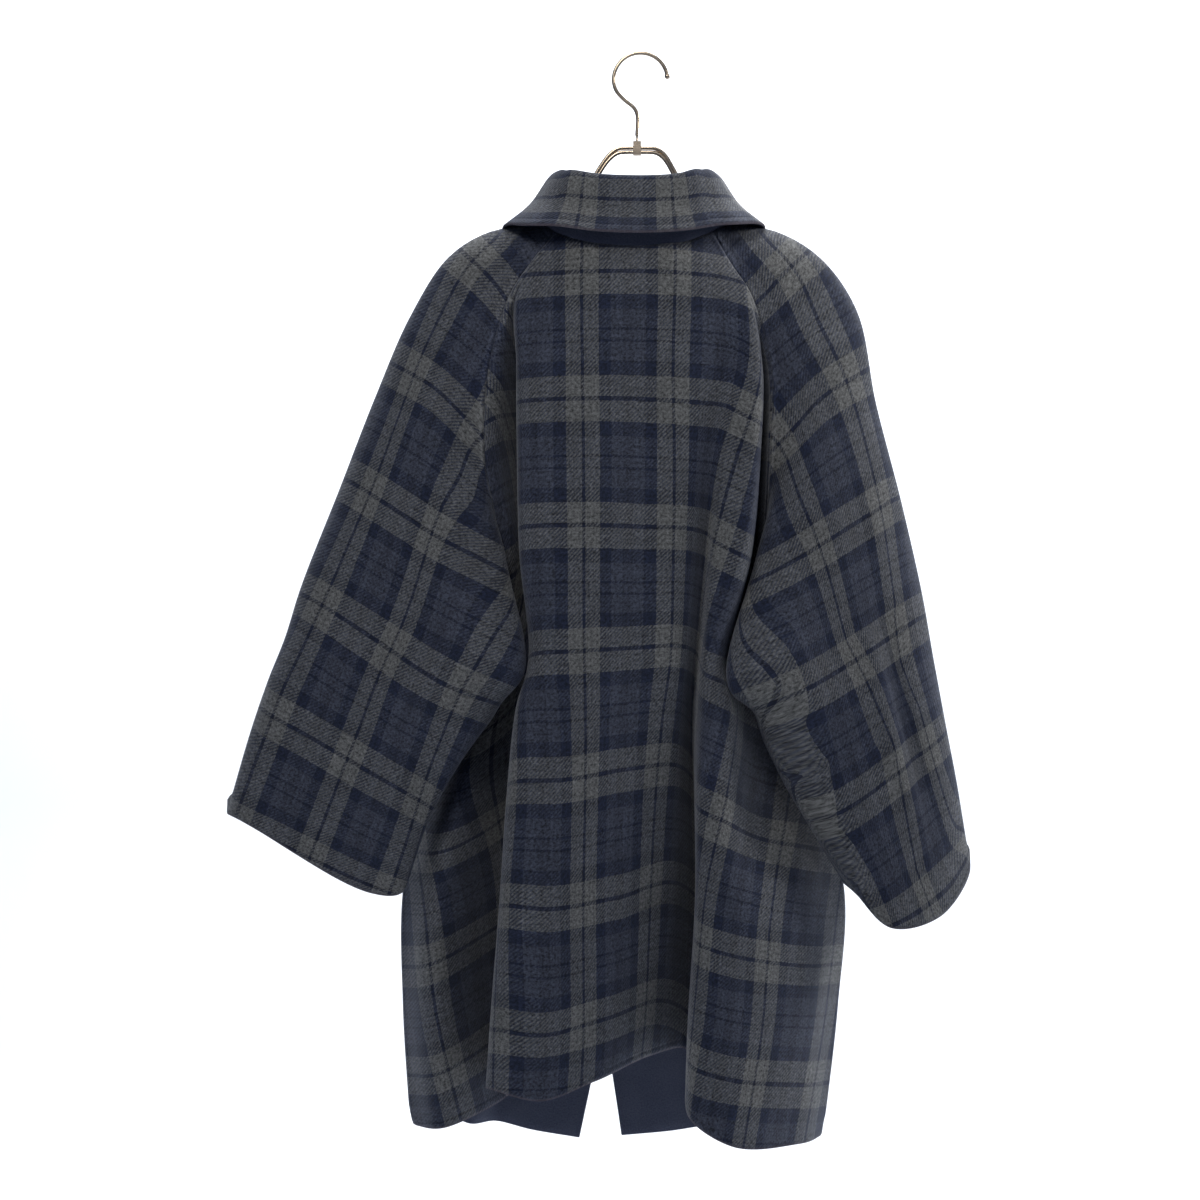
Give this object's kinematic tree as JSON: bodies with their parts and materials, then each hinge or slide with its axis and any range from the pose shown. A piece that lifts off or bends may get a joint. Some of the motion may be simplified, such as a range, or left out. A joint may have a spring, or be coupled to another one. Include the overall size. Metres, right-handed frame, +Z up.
{
  "type": "flannel coat on a hanger",
  "caption": "Oversized raglan coat in grey and navy plaid flannel with a turned-down collar, hanging by its shoulders on a bent-wire hanger.",
  "frame": {"origin": "the inside top of the hook, where it bears on a rail", "axes": "+Z up, +Y out of the coat's buttoned front, +X to the wearer's right"},
  "size_m": [0.7307, 0.2651, 1.11],
  "materials": {
    "plaid_flannel": "double-faced wool flannel, plaid face in grey and navy, plain dark navy reverse",
    "collar_flannel": "the same double-faced flannel, turned over",
    "hanger_steel": "bright plated wire",
    "ferrule_steel": "satin",
    "button_resin": "semi-gloss"
  },
  "bodies": {
    "root": {"hanger_hook": "hanger_steel", "hanger_ferrule": "ferrule_steel", "hanger_frame": "hanger_steel", "back": "plaid_flannel", "front_left": "plaid_flannel", "front_right": "plaid_flannel", "sleeve_left": "plaid_flannel", "sleeve_right": "plaid_flannel", "collar": "collar_flannel", "button_1": "button_resin", "button_2": "button_resin", "button_3": "button_resin", "button_4": "button_resin"}
  },
  "joints": []
}
